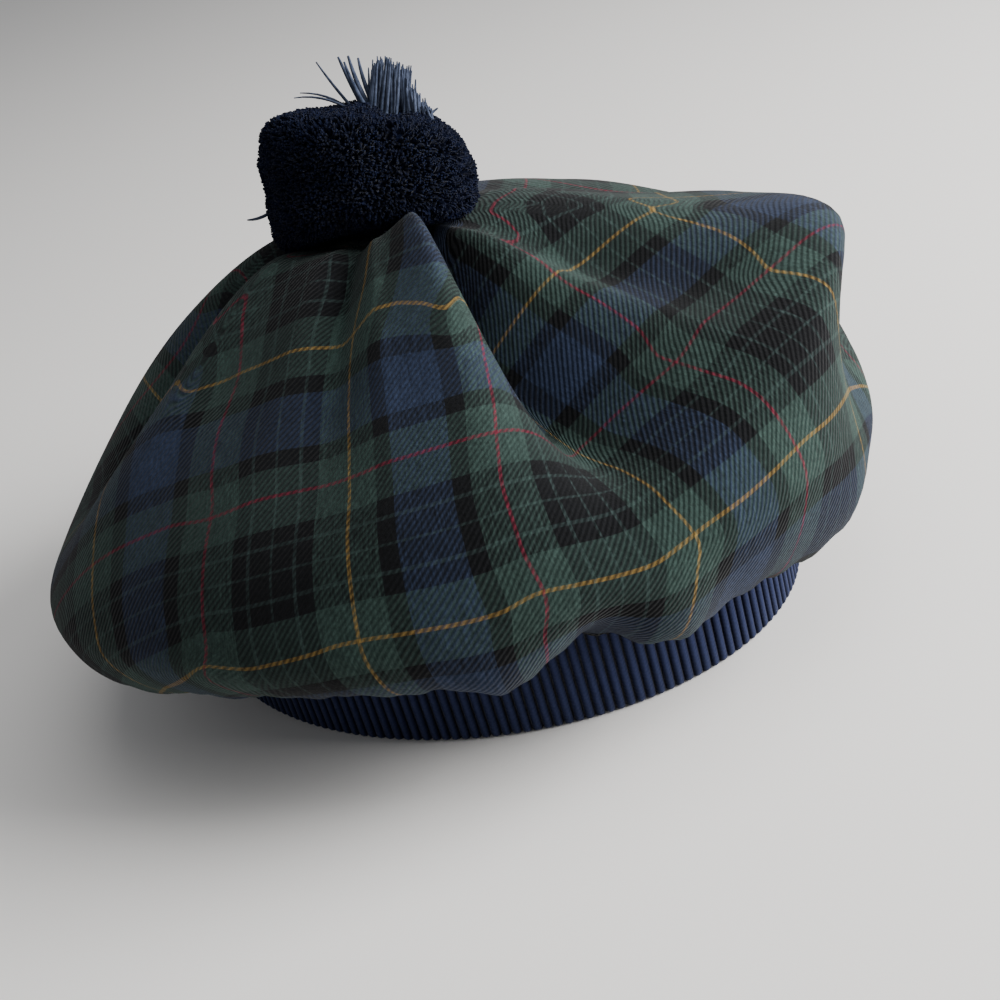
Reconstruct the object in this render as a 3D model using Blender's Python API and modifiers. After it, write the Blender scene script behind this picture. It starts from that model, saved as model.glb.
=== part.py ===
# A tam o' shanter: a wide tartan crown gathered onto a ribbed knitted band, with a wool pompom on top.
# The hat rests on its band, by itself. Metres, +Z up, the front of the hat towards -Y.
import math
import random

import bmesh
import bpy
from mathutils import Matrix, Vector
from mathutils.bvhtree import BVHTree

# Band: outside size at the ribs, and its height and wall
BAND_LENGTH = 0.196
BAND_WIDTH = 0.156
BAND_HEIGHT = 0.038
BAND_WALL = 0.0030
RIB_PITCH = 0.0030
RIB_DEPTH = 0.0008
OVAL_FINENESS = 40

# Crown: how far it stands out beyond the band, and from the band's top to the highest cloth
CROWN_OVERHANG = 0.042
CROWN_REACH = (BAND_LENGTH + BAND_WIDTH) / 4 + CROWN_OVERHANG
CROWN_RISE = 0.087
CLOTH_WALL = 0.0018
SEAT_RADIUS = 0.012
# The middle of the cloth, under the pompom, lies away from the middle of the band, towards an
# azimuth, and the shift fades out at this share of the way to the band
MIDDLE_SHIFT = 0.020
MIDDLE_AZIMUTH = 30
MIDDLE_FADE = 0.75
LIP_REACH = 0.0016
CROWN_ROWS = 17

# Gathers where the cloth is sewn to the band, in shares of the cloth, and how unevenly they lie
GATHERS = 24
GATHER_DEPTH = 0.0032
GATHER_START = 0.80
GATHER_FULL = 0.96
GATHER_FADE = 1.4
GATHER_WANDER = 50
COLUMNS_PER_GATHER = 4

# Pompom: a square-shouldered ball of locks that tilts aside, with long strands on its top. A lock's
# tip is a share of its root, and its length is uneven by a share. STRAND_PATCH and SEAT_SHARE are
# shares of the ball's radius, and the dishes are slopes up from the seat.
POMPOM_RADIUS = 0.0308
POMPOM_HEIGHT = 0.037
POMPOM_SQUARE = 3.2
POMPOM_TILT = 19
POMPOM_TILT_AZIMUTH = -21
LOCK_LENGTH = 0.0042
LOCK_TIP = 0.85
LOCK_UNEVEN = 0.30
STRAND_LENGTH = 0.0150
STRAND_TIP = 0.35
STRAND_PATCH = 0.38
LOCK_SWING = 0.22
SEAT_SHARE = 0.45
BALL_DISH = 0.20
LOCK_DISH = 0.35
UNDERSIDE = -0.70
# Higher than any part of the hat
SKY = 1.0

GAP = 0.0003

# The crown's outline by azimuth, in degrees anticlockwise from +X. reach is a share of CROWN_REACH,
# heights are shares of CROWN_RISE above the band, and brow_out and tuck_out are shares of the reach.
# azimuth, reach, crest, slope, brow, brow_out, rim, tuck, tuck_out
SECTIONS = (
    (0, 1.03, 0.90, 0.74, 0.56, 0.90, 0.31, -0.02, 0.88),
    (30, 1.03, 0.90, 0.74, 0.55, 0.90, 0.28, -0.04, 0.88),
    (60, 1.03, 0.91, 0.74, 0.50, 0.90, 0.22, -0.07, 0.88),
    (90, 1.01, 0.94, 0.72, 0.41, 0.89, 0.15, -0.12, 0.87),
    (115, 1.00, 0.95, 0.67, 0.36, 0.89, 0.12, -0.14, 0.88),
    (140, 0.99, 0.96, 0.66, 0.37, 0.89, 0.14, -0.12, 0.89),
    (160, 0.92, 0.97, 0.69, 0.41, 0.90, 0.17, -0.06, 0.88),
    (180, 0.88, 0.99, 0.72, 0.44, 0.90, 0.17, -0.03, 0.88),
    (200, 0.88, 1.01, 0.75, 0.46, 0.90, 0.16, -0.04, 0.88),
    (218, 0.88, 1.01, 0.75, 0.47, 0.90, 0.17, -0.05, 0.87),
    (235, 0.91, 0.99, 0.71, 0.47, 0.90, 0.17, -0.10, 0.88),
    (252, 0.95, 0.95, 0.74, 0.51, 0.91, 0.17, -0.10, 0.91),
    (268, 0.98, 0.92, 0.79, 0.61, 0.94, 0.18, -0.08, 0.90),
    (283, 0.99, 0.92, 0.81, 0.67, 0.96, 0.20, -0.06, 0.88),
    (300, 0.98, 0.91, 0.78, 0.61, 0.98, 0.26, -0.03, 0.88),
    (320, 0.97, 0.91, 0.75, 0.56, 0.96, 0.28, -0.02, 0.89),
    (340, 1.02, 0.90, 0.75, 0.56, 0.90, 0.30, -0.02, 0.88),
)
MIDDLE_HEIGHT = 0.92
CREST_OUT = 0.30
SLOPE_OUT = 0.62
# The share of the cloth, from the middle to the band, at which each station of a section lies
STATIONS = (0.0, 0.06, 0.19, 0.40, 0.61, 0.75, 0.90, 0.975, 1.0)
LIP_STATION = STATIONS[-2]

# Folds that run from the pompom to the rim. spread is in degrees of cloth to each side, depth (up is
# positive) and lean are shares of CROWN_RISE, pinch is how far the cloth gathers into the fold,
# and start, peak and end are shares of the cloth. FOLD_SQUARE is the share of a fold's depth that
# goes square to the cloth, and the rest goes straight up or down.
# azimuth_top, azimuth_rim, spread, depth, pinch, lean, start, peak, end
FOLDS = (
    (241, 234, 24, -0.42, 0.62, -0.12, 0.03, 0.20, 0.86),
    (219, 215, 16, 0.06, 0.00, 0.05, 0.05, 0.20, 0.80),
    (188, 186, 15, -0.08, 0.30, 0.00, 0.06, 0.25, 0.70),
    (142, 140, 14, 0.05, 0.00, 0.00, 0.08, 0.35, 0.80),
    (114, 113, 24, -0.27, 0.40, 0.03, 0.06, 0.32, 0.82),
    (272, 268, 32, -0.16, 0.20, 0.00, 0.05, 0.32, 0.80),
    (40, 44, 20, -0.10, 0.40, 0.00, 0.06, 0.35, 0.80),
    (330, 334, 18, -0.07, 0.40, 0.00, 0.08, 0.40, 0.80),
)
FOLD_SQUARE = 0.35
SLOPE_STEP = 0.004

# Dents and bulges round the rim. spread is in degrees, at and half_height are shares of the cloth,
# and depth, inwards, is a share of CROWN_REACH.
# azimuth, spread, at, half_height, depth
DENTS = (
    (288, 32, 0.71, 0.11, 0.100),
    (296, 20, 0.58, 0.09, -0.018),
    (222, 7, 0.87, 0.16, 0.035),
    (232, 9, 0.86, 0.14, -0.035),
    (208, 10, 0.87, 0.15, -0.034),
    (262, 12, 0.86, 0.12, -0.030),
)


def hermite(start, end, slope_start, slope_end, u):
    return (
        (2 * u**3 - 3 * u**2 + 1) * start
        + (u**3 - 2 * u**2 + u) * slope_start
        + (3 * u**2 - 2 * u**3) * end
        + (u**3 - u**2) * slope_end
    )


# A smooth curve through the points (xs, ys), read at x.
def curve_at(xs, ys, x):
    last = len(xs) - 1
    k = 0
    while k < last - 1 and x > xs[k + 1]:
        k += 1
    width = xs[k + 1] - xs[k]

    def slope(i):
        low, high = max(i - 1, 0), min(i + 1, last)
        return (ys[high] - ys[low]) / (xs[high] - xs[low]) * width

    return hermite(ys[k], ys[k + 1], slope(k), slope(k + 1), (x - xs[k]) / width)


# One column of SECTIONS as a smooth closed curve round the hat.
def section_value(azimuth, column):
    count = len(SECTIONS)
    azimuth %= 360
    k = max(i for i in range(count) if SECTIONS[i][0] <= azimuth)
    rows = [divmod(k + step, count) for step in (-1, 0, 1, 2)]
    xs = [SECTIONS[row][0] + 360 * turn for turn, row in rows]
    ys = [SECTIONS[row][column] for _, row in rows]
    return curve_at(xs, ys, azimuth)


# 1 at the middle of a fold, 0 from its edge outwards.
def bump(u):
    return 0.5 + 0.5 * math.cos(math.pi * min(abs(u), 1))


# 0 before start and after end, 1 at the peak.
def swell(share, start, peak, end):
    u = (share - start) / (peak - start) if share < peak else (end - share) / (end - peak)
    u = min(max(u, 0), 1)
    return u * u * (3 - 2 * u)


def angle_from(azimuth, centre):
    return (azimuth - centre + 180) % 360 - 180


def oval_radius(azimuth, length, width):
    a = math.radians(azimuth)
    return 1 / math.hypot(math.cos(a) / (width / 2), math.sin(a) / (length / 2))


# Radius and height of the cloth's outer side, before folds.
def plain_crown(azimuth, share):
    reach, crest, slope, brow, brow_out, rim, tuck, tuck_out = (
        section_value(azimuth, column) for column in range(1, 9)
    )
    reach *= CROWN_REACH
    band_out = oval_radius(azimuth, BAND_LENGTH, BAND_WIDTH)
    radii = [0, SEAT_RADIUS, CREST_OUT * reach, SLOPE_OUT * reach, brow_out * reach, reach]
    radii += [tuck_out * reach, band_out + LIP_REACH, band_out - BAND_WALL]
    heights = [MIDDLE_HEIGHT, MIDDLE_HEIGHT, crest, slope, brow, rim, tuck]
    heights = [BAND_HEIGHT + h * CROWN_RISE for h in heights] + [BAND_HEIGHT + GAP] * 2
    return curve_at(STATIONS, radii, share), curve_at(STATIONS, heights, share)


def middle_aside():
    a = math.radians(MIDDLE_AZIMUTH)
    return Vector((MIDDLE_SHIFT * math.cos(a), MIDDLE_SHIFT * math.sin(a), 0))


# A point of the cloth's outer side: azimuth in the cloth, and share of the way from middle to band.
def crown_point(azimuth, share):
    plan, lift, lean = azimuth, 0, 0
    for top, rim, spread, depth, pinch, side, start, peak, end in FOLDS:
        centre = top + (rim - top) * min(share / end, 1)
        away = angle_from(azimuth, centre)
        pull = swell(share, start, peak, end) * bump(away / spread)
        lift += depth * CROWN_RISE * pull
        lean += side * CROWN_RISE * pull
        plan -= pinch * away * pull
    radius, height = plain_crown(plan, share)
    inner = plain_crown(plan, max(share - SLOPE_STEP, 0))
    outer = plain_crown(plan, min(share + SLOPE_STEP, 1))
    normal = Vector((inner[1] - outer[1], outer[0] - inner[0])).normalized()
    push = 0
    for centre, spread, at, half_height, depth in DENTS:
        pull = bump(angle_from(azimuth, centre) / spread) * bump((share - at) / half_height)
        push -= depth * CROWN_REACH * pull
    radius += (push + FOLD_SQUARE * lift) * normal.x
    height += (push + FOLD_SQUARE * lift) * normal.y + (1 - FOLD_SQUARE) * lift * max(normal.y, 0)
    wander = GATHER_WANDER * math.sin(math.radians(2 * azimuth))
    gather = 0.5 - 0.5 * math.cos(math.radians(azimuth * GATHERS + wander))
    height += GATHER_DEPTH * gather * swell(share, GATHER_START, GATHER_FULL, GATHER_FADE)
    a = math.radians(plan)
    aside = middle_aside() * swell(share, -MIDDLE_FADE, 0, MIDDLE_FADE)
    return Vector((
        radius * math.cos(a) - lean * math.sin(a) + aside.x,
        radius * math.sin(a) + lean * math.cos(a) + aside.y,
        height,
    ))


# Points on an oval at equal steps along it, with the way out at each.
def oval_steps(length, width, count):
    fine = OVAL_FINENESS * count
    turns = [2 * math.pi * i / fine for i in range(fine + 1)]
    ring = [Vector((width / 2 * math.cos(t), length / 2 * math.sin(t))) for t in turns]
    along = [0.0]
    for a, b in zip(ring, ring[1:]):
        along.append(along[-1] + (b - a).length)
    steps = []
    k = 0
    for i in range(count):
        while along[k + 1] < along[-1] * i / count:
            k += 1
        point = ring[k]
        out = Vector((point.x / width**2, point.y / length**2)).normalized()
        steps.append((point, out))
    return steps


def cloth(name, color, roughness, sheen):
    material = bpy.data.materials.new(name)
    material.use_nodes = True
    shader = material.node_tree.nodes["Principled BSDF"]
    shader.inputs["Base Color"].default_value = (*color, 1)
    shader.inputs["Roughness"].default_value = roughness
    shader.inputs["Sheen Weight"].default_value = sheen
    material.diffuse_color = (*color, 1)
    return material


def add_object(name, data, collection, parent, material):
    obj = bpy.data.objects.new(name, data)
    collection.objects.link(obj)
    obj.parent = parent
    data.materials.append(material)
    return obj


def make_crown(collection, parent):
    columns = GATHERS * COLUMNS_PER_GATHER
    shell = bmesh.new()
    middle = shell.verts.new(crown_point(0, 0))
    shares = [LIP_STATION * row / (CROWN_ROWS - 1) for row in range(1, CROWN_ROWS)] + [1]
    rings = [
        [shell.verts.new(crown_point(360 * i / columns, share)) for i in range(columns)]
        for share in shares
    ]
    for i in range(columns):
        j = (i + 1) % columns
        shell.faces.new((middle, rings[0][i], rings[0][j]))
        for inner, outer in zip(rings, rings[1:]):
            shell.faces.new((inner[i], outer[i], outer[j], inner[j]))
    mesh = bpy.data.meshes.new("crown")
    shell.to_mesh(mesh)
    shell.free()
    mesh.shade_smooth()
    tartan = cloth("tartan_wool", (0.028, 0.055, 0.060), 0.9, 0.3)
    crown = add_object("crown", mesh, collection, parent, tartan)
    wall = crown.modifiers.new("wall", "SOLIDIFY")
    wall.thickness = CLOTH_WALL
    wall.offset = -1
    return crown


# A ribbed oval ring: every other point of the outside lies in the groove between two ribs.
def make_band(collection, parent):
    girth = math.pi * (BAND_LENGTH + BAND_WIDTH) / 2
    ribs = round(girth / RIB_PITCH)
    outside = [
        point - out * RIB_DEPTH * (i % 2)
        for i, (point, out) in enumerate(oval_steps(BAND_LENGTH, BAND_WIDTH, 2 * ribs))
    ]
    inside = [point - out * BAND_WALL for point, out in oval_steps(BAND_LENGTH, BAND_WIDTH, ribs)]
    outline = bpy.data.curves.new("band", "CURVE")
    outline.dimensions = "2D"
    outline.fill_mode = "BOTH"
    outline.extrude = BAND_HEIGHT / 2
    for ring in (outside, inside):
        spline = outline.splines.new("POLY")
        spline.points.add(len(ring) - 1)
        for slot, point in zip(spline.points, ring):
            slot.co = (point.x, point.y, 0, 1)
        spline.use_cyclic_u = True
    knit = cloth("navy_rib_knit", (0.012, 0.016, 0.048), 0.95, 0.2)
    band = add_object("band", outline, collection, parent, knit)
    band.location.z = BAND_HEIGHT / 2
    return band


# A flattened ball whose faces are drawn out into locks of yarn, with a few long strands on top. It
# sits on the flat middle of the crown, and stays clear of the cloth round it.
def make_pompom(collection, parent, crown):
    seat = BAND_HEIGHT + MIDDLE_HEIGHT * CROWN_RISE + GAP
    half = POMPOM_HEIGHT / 2
    wide, high = POMPOM_RADIUS - LOCK_LENGTH, half - LOCK_LENGTH
    middle = middle_aside() + Vector((0, 0, seat + half))
    a = math.radians(POMPOM_TILT_AZIMUTH)
    tilt = Matrix.Rotation(math.radians(POMPOM_TILT), 3, Vector((-math.sin(a), math.cos(a), 0)))
    faces = [list(face.vertices) for face in crown.data.polygons]
    skin = BVHTree.FromPolygons([vert.co for vert in crown.data.vertices], faces)

    def lowest(point, dish):
        hit = skin.ray_cast(Vector((point.x, point.y, SKY)), Vector((0, 0, -1)))[0]
        beyond = math.hypot(point.x - middle.x, point.y - middle.y) - SEAT_RADIUS
        return max(hit.z, seat - GAP) + GAP + dish * max(beyond, 0)

    chance = random.Random(4)
    ball = bmesh.new()
    bmesh.ops.create_icosphere(ball, subdivisions=3, radius=1)
    tops = set()
    for face in ball.faces:
        at = face.calc_center_median()
        if at.z > 0 and math.hypot(at.x, at.y) < STRAND_PATCH:
            tops.add(face)
    for vert in ball.verts:
        side = math.hypot(vert.co.x, vert.co.y)
        vert.co *= (side**POMPOM_SQUARE + abs(vert.co.z) ** POMPOM_SQUARE) ** (-1 / POMPOM_SQUARE)
        vert.co = middle + tilt @ (vert.co * Vector((wide, wide, high)))
        vert.co.z = max(vert.co.z, lowest(vert.co, BALL_DISH))
        if vert.co.z < seat + half and side < SEAT_SHARE:
            vert.co.z = lowest(vert.co, BALL_DISH)
    ball.normal_update()
    for face in list(ball.faces):
        at = face.calc_center_median()
        normal = face.normal.copy()
        if normal.z < UNDERSIDE:
            continue
        strand = face in tops
        length = (STRAND_LENGTH if strand else LOCK_LENGTH) * chance.uniform(1 - LOCK_UNEVEN, 1)
        swing = Vector([chance.uniform(-LOCK_SWING, LOCK_SWING) for _ in range(3)])
        tip = at + (normal + swing).normalized() * length
        bmesh.ops.inset_individual(ball, faces=[face], thickness=GAP)
        for vert in face.verts:
            vert.co = tip + (vert.co - at) * (STRAND_TIP if strand else LOCK_TIP)
            vert.co.z = max(vert.co.z, lowest(vert.co, LOCK_DISH))
    mesh = bpy.data.meshes.new("pompom")
    ball.to_mesh(mesh)
    ball.free()
    yarn = cloth("navy_wool_yarn", (0.006, 0.008, 0.020), 1.0, 0.3)
    return add_object("pompom", mesh, collection, parent, yarn)


# How far the middle of the crown's outline lies from the middle of the band.
def crown_middle(crown):
    xs = [vert.co.x for vert in crown.data.vertices]
    ys = [vert.co.y for vert in crown.data.vertices]
    return Vector(((min(xs) + max(xs)) / 2, (min(ys) + max(ys)) / 2, 0))


def main():
    for obj in list(bpy.data.objects):
        bpy.data.objects.remove(obj, do_unlink=True)
    hat = bpy.data.collections.new("tam_o_shanter")
    bpy.context.scene.collection.children.link(hat)
    base = bpy.data.objects.new("base", None)
    hat.objects.link(base)
    crown = make_crown(hat, base)
    make_band(hat, base)
    make_pompom(hat, base, crown)
    base.location = -crown_middle(crown)


main()
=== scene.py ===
import math
import random

import bmesh
import bpy
import numpy as np
from mathutils import Matrix, Vector
from mathutils.bvhtree import BVHTree
from mathutils.interpolate import poly_3d_calc


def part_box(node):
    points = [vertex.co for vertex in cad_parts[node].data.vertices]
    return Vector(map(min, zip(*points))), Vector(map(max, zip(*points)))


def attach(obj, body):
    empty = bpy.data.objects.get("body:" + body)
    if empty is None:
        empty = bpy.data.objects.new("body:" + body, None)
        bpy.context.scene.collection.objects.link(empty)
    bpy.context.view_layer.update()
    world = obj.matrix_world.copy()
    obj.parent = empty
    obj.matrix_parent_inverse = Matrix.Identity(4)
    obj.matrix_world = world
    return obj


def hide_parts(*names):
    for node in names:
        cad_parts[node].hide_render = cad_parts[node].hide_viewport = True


# A tam o' shanter: tartan wool crown, navy ribbed band, dark wool pompom. Metres, +Z up.
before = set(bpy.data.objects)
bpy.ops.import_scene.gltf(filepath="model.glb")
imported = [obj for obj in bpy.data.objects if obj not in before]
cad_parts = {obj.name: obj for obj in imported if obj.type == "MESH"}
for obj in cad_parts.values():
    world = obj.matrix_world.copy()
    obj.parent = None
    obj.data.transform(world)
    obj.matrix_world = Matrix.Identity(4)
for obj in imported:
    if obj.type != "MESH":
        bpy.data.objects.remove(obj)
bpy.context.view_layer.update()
bandLow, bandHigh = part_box("band")
hatMiddle = Vector(((bandLow.x + bandHigh.x) / 2, (bandLow.y + bandHigh.y) / 2, 0))


def hexToLinear(code):
    shares = [int(code[i:i + 2], 16) / 255 for i in (1, 3, 5)]
    return tuple(c / 12.92 if c <= 0.04045 else ((c + 0.055) / 1.055) ** 2.4 for c in shares) + (1.0,)


# Adds a node, with its settings, and its inputs as values or as sockets to link from.
def addNode(tree, kind, inputs=None, **settings):
    node = tree.nodes.new(kind)
    for name, value in settings.items():
        setattr(node, name, value)
    for key, value in (inputs or {}).items():
        if isinstance(value, bpy.types.NodeSocket):
            tree.links.new(value, node.inputs[key])
        else:
            node.inputs[key].default_value = value
    return node


def addMath(tree, operation, *inputs, **settings):
    settings["operation"] = operation
    return addNode(tree, "ShaderNodeMath", dict(enumerate(inputs)), **settings).outputs[0]


def addNoise(tree, place, scale, detail, roughness=0.5):
    return addNode(tree, "ShaderNodeTexNoise", {
        "Vector": place, "Scale": scale, "Detail": detail, "Roughness": roughness}).outputs["Fac"]


# Gives the shader a relief, depth metres high, from a height between 0 and 1.
def addRelief(tree, shader, height, strength, depth):
    relief = addNode(tree, "ShaderNodeBump", {"Height": height, "Strength": strength, "Distance": depth})
    tree.links.new(relief.outputs["Normal"], shader.inputs["Normal"])


# the shader's own sockets, by their names in a look
shaderSockets = {
    "roughness": "Roughness",
    "specular": "Specular IOR Level",
    "sheen": "Sheen Weight",
    "sheenRoughness": "Sheen Roughness",
}


# A new material, its node tree and its shader, with the uniform values that the look has.
def addMaterial(name, look):
    material = bpy.data.materials.new(name)
    material.use_nodes = True
    shader = material.node_tree.nodes["Principled BSDF"]
    for key, socket in shaderSockets.items():
        if key in look:
            shader.inputs[socket].default_value = look[key]
    return material, material.node_tree, shader


def addObject(name, data):
    made = bpy.data.objects.new(name, data)
    bpy.context.scene.collection.objects.link(made)
    return made


def meshFrom(shape, name):
    mesh = bpy.data.meshes.new(name)
    shape.to_mesh(mesh)
    shape.free()
    return mesh


# The mesh of an object as its modifiers leave it. The object goes.
def plainMesh(carrier):
    bpy.context.view_layer.update()
    mesh = bpy.data.meshes.new_from_object(carrier.evaluated_get(bpy.context.evaluated_depsgraph_get()))
    bpy.data.objects.remove(carrier)
    return mesh


# A Geometry Nodes group with an input for each value, the inputs' identifiers, and their sockets.
def addGroup(name, values):
    tree = bpy.data.node_groups.new(name, "GeometryNodeTree")
    tree.interface.new_socket("Geometry", in_out="INPUT", socket_type="NodeSocketGeometry")
    identifiers = {}
    for key, value in values.items():
        kind = "NodeSocketInt" if isinstance(value, int) else "NodeSocketFloat"
        identifiers[key] = tree.interface.new_socket(key, in_out="INPUT", socket_type=kind).identifier
    tree.interface.new_socket("Geometry", in_out="OUTPUT", socket_type="NodeSocketGeometry")
    return tree, identifiers, addNode(tree, "NodeGroupInput").outputs


# Ends a group with its material, runs it on a mesh and returns the plain mesh that it makes.
def runGroup(tree, identifiers, values, geometry, material, mesh):
    real = addNode(tree, "GeometryNodeRealizeInstances", {"Geometry": geometry})
    done = addNode(tree, "GeometryNodeSetMaterial", {"Geometry": real.outputs[0], "Material": material})
    addNode(tree, "NodeGroupOutput", {"Geometry": done.outputs[0]})
    carrier = addObject(mesh.name, mesh)
    modifier = carrier.modifiers.new(tree.name, "NODES")
    modifier.node_group = tree
    for name, value in values.items():
        modifier[identifiers[name]] = value
    return plainMesh(carrier)


def addPiece(name, mesh, node, material):
    piece = addObject(name, mesh)
    mesh.materials.clear()
    mesh.materials.append(material)
    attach(piece, "root")
    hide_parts(node)
    return piece


# Camera

photoView = {
    "imageSize": 1000,
    "focalPixels": 1500,
    "azimuth": -60,
    "elevation": 28.1,
    "roll": -16.5,
    "distance": 0.463,
    "aimHeight": 0.05,
    "moveRight": 0.013,
    "moveUp": -0.015,
    "sensorWidth": 36,
    "clipStart": 0.01,
}


def makeCamera(view):
    a, e, r = (math.radians(view[key]) for key in ("azimuth", "elevation", "roll"))
    back = Vector((math.sin(a) * math.cos(e), -math.cos(a) * math.cos(e), math.sin(e)))
    level = Vector((math.cos(a), math.sin(a), 0))
    right = level * math.cos(r) + back.cross(level) * math.sin(r)
    up = back.cross(right)
    place = hatMiddle + Vector((0, 0, view["aimHeight"])) + back * view["distance"]
    place += right * view["moveRight"] + up * view["moveUp"]
    data = bpy.data.cameras.new("camera")
    data.sensor_width = view["sensorWidth"]
    data.lens = data.sensor_width * view["focalPixels"] / view["imageSize"]
    data.clip_start = view["clipStart"]
    camera = addObject("camera", data)
    camera.matrix_world = Matrix.Translation(place) @ Matrix((right, up, back)).transposed().to_4x4()
    bpy.context.scene.camera = camera
    return place, right, up, back


cameraPlace, cameraRight, cameraUp, cameraBack = makeCamera(photoView)


# The direction from the camera through a pixel of the photograph.
def pixelRay(pixelX, pixelY):
    half = photoView["imageSize"] / 2
    aside = (pixelX - half) / photoView["focalPixels"]
    upward = (half - pixelY) / photoView["focalPixels"]
    return (cameraRight * aside + cameraUp * upward - cameraBack).normalized()


print("camera placed")

# Band and crown shape

bandShape = {
    "length": 0.196,
    "width": 0.156,
    "height": 0.038,
    "wall": 0.0030,
    "ribPitch": 0.0030,
    "ribHeight": 0.0011,
    "ribHalf": 0.54,
    "ribCore": 0.9,
    "ribUneven": 0.05,
    "ovalSteps": 720,
    "seed": 3,
}
crownShape = {
    "overhang": 0.042,
    "rise": 0.087,
    "wall": 0.0018,
    "seatRadius": 0.012,
    "lipReach": 0.0016,
    "gap": 0.0003,
    "middleHeight": 0.92,
    "middleShift": 0.020,
    "middleAzimuth": 30,
    "middleFade": 0.75,
    "crestOut": 0.30,
    "slopeOut": 0.62,
    "gathers": 24,
    "gatherDepth": 0.0032,
    "gatherStart": 0.80,
    "gatherFull": 0.96,
    "gatherFade": 1.4,
    "gatherWander": 50,
    "puckers": 67,
    "puckerDepth": 0.0012,
    "foldSquare": 0.35,
    "slopeStep": 0.004,
    "coarseColumns": 72,
    "coarseRows": 17,
    "fineness": 5,
}
# outline by azimuth, in degrees anticlockwise from +X, as shares of the reach and the rise
sectionColumns = ("azimuth", "reach", "crest", "slope", "brow", "browOut", "rim", "tuck", "tuckOut")
crownSections = np.array((
    (0, 1.03, 0.90, 0.74, 0.56, 0.90, 0.31, -0.02, 0.88),
    (30, 1.03, 0.90, 0.74, 0.55, 0.90, 0.28, -0.04, 0.88),
    (60, 1.03, 0.91, 0.74, 0.50, 0.90, 0.22, -0.07, 0.88),
    (90, 1.01, 0.94, 0.72, 0.41, 0.89, 0.15, -0.12, 0.87),
    (115, 1.00, 0.95, 0.67, 0.36, 0.89, 0.12, -0.14, 0.88),
    (140, 0.99, 0.96, 0.66, 0.37, 0.89, 0.14, -0.12, 0.89),
    (160, 0.92, 0.97, 0.69, 0.41, 0.90, 0.17, -0.06, 0.88),
    (180, 0.88, 0.99, 0.72, 0.44, 0.90, 0.17, -0.03, 0.88),
    (200, 0.88, 1.01, 0.75, 0.46, 0.90, 0.16, -0.04, 0.88),
    (218, 0.88, 1.01, 0.75, 0.47, 0.90, 0.17, -0.05, 0.87),
    (235, 0.91, 0.99, 0.71, 0.47, 0.90, 0.17, -0.10, 0.88),
    (252, 0.95, 0.95, 0.74, 0.51, 0.91, 0.17, -0.10, 0.91),
    (268, 0.98, 0.92, 0.79, 0.61, 0.94, 0.18, -0.08, 0.90),
    (283, 0.99, 0.92, 0.81, 0.67, 0.96, 0.20, -0.06, 0.88),
    (300, 0.98, 0.91, 0.78, 0.61, 0.98, 0.26, -0.03, 0.88),
    (320, 0.97, 0.91, 0.75, 0.56, 0.96, 0.28, -0.02, 0.89),
    (340, 1.02, 0.90, 0.75, 0.56, 0.90, 0.30, -0.02, 0.88),
))
# share of the way from the middle to the band at each station of a section
stations = np.array((0.0, 0.06, 0.19, 0.40, 0.61, 0.75, 0.90, 0.975, 1.0))
# azimuth at the top and at the rim, spread, depth (up is positive), pinch, lean, start, peak, end
crownFolds = (
    (241, 234, 24, -0.42, 0.62, -0.12, 0.03, 0.20, 0.86),
    (219, 215, 16, 0.06, 0.00, 0.05, 0.05, 0.20, 0.80),
    (188, 186, 15, -0.08, 0.30, 0.00, 0.06, 0.25, 0.70),
    (142, 140, 14, 0.05, 0.00, 0.00, 0.08, 0.35, 0.80),
    (114, 113, 24, -0.27, 0.40, 0.03, 0.06, 0.32, 0.82),
    (272, 268, 32, -0.16, 0.20, 0.00, 0.05, 0.32, 0.80),
    (40, 44, 20, -0.10, 0.40, 0.00, 0.06, 0.35, 0.80),
    (330, 334, 18, -0.07, 0.40, 0.00, 0.08, 0.40, 0.80),
)
# azimuth, spread, share of the way, half height, depth inwards as a share of the reach
crownDents = (
    (288, 32, 0.71, 0.11, 0.100),
    (296, 20, 0.58, 0.09, -0.018),
    (222, 7, 0.87, 0.16, 0.035),
    (232, 9, 0.86, 0.14, -0.035),
    (208, 10, 0.87, 0.15, -0.034),
    (262, 12, 0.86, 0.12, -0.030),
)
crownReach = (bandShape["length"] + bandShape["width"]) / 4 + crownShape["overhang"]


# A smooth curve through the points (xs, ys), read at every x.
def curveAt(xs, ys, x):
    last = len(xs) - 1
    k = np.clip(np.searchsorted(xs, x, side="left") - 1, 0, last - 1)
    width = xs[k + 1] - xs[k]

    def valueAt(i):
        return ys[i] if ys.ndim == 1 else np.take_along_axis(ys, i[None], 0)[0]

    def slopeAt(i):
        low, high = np.maximum(i - 1, 0), np.minimum(i + 1, last)
        return (valueAt(high) - valueAt(low)) / (xs[high] - xs[low]) * width

    u = (x - xs[k]) / width
    return (
        (2 * u**3 - 3 * u**2 + 1) * valueAt(k)
        + (u**3 - 2 * u**2 + u) * slopeAt(k)
        + (3 * u**2 - 2 * u**3) * valueAt(k + 1)
        + (u**3 - u**2) * slopeAt(k + 1)
    )


# One column of the sections as a smooth closed curve round the hat.
def sectionValue(azimuth, column):
    angles = crownSections[:, 0]
    values = crownSections[:, sectionColumns.index(column)]
    angles = np.concatenate([angles[-1:] - 360, angles, angles[:2] + 360])
    values = np.concatenate([values[-1:], values, values[:2]])
    return curveAt(angles, values, azimuth % 360)


# A smooth hill, 1 at 0 and nothing from 1 onwards.
def bump(u):
    return 0.5 + 0.5 * np.cos(np.pi * np.minimum(np.abs(u), 1))


# A smooth rise from start to peak and fall from peak to end.
def swell(share, start, peak, end):
    u = np.clip(np.where(share < peak, (share - start) / (peak - start), (end - share) / (end - peak)), 0, 1)
    return u * u * (3 - 2 * u)


def angleFrom(azimuth, centre):
    return (azimuth - centre + 180) % 360 - 180


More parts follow.
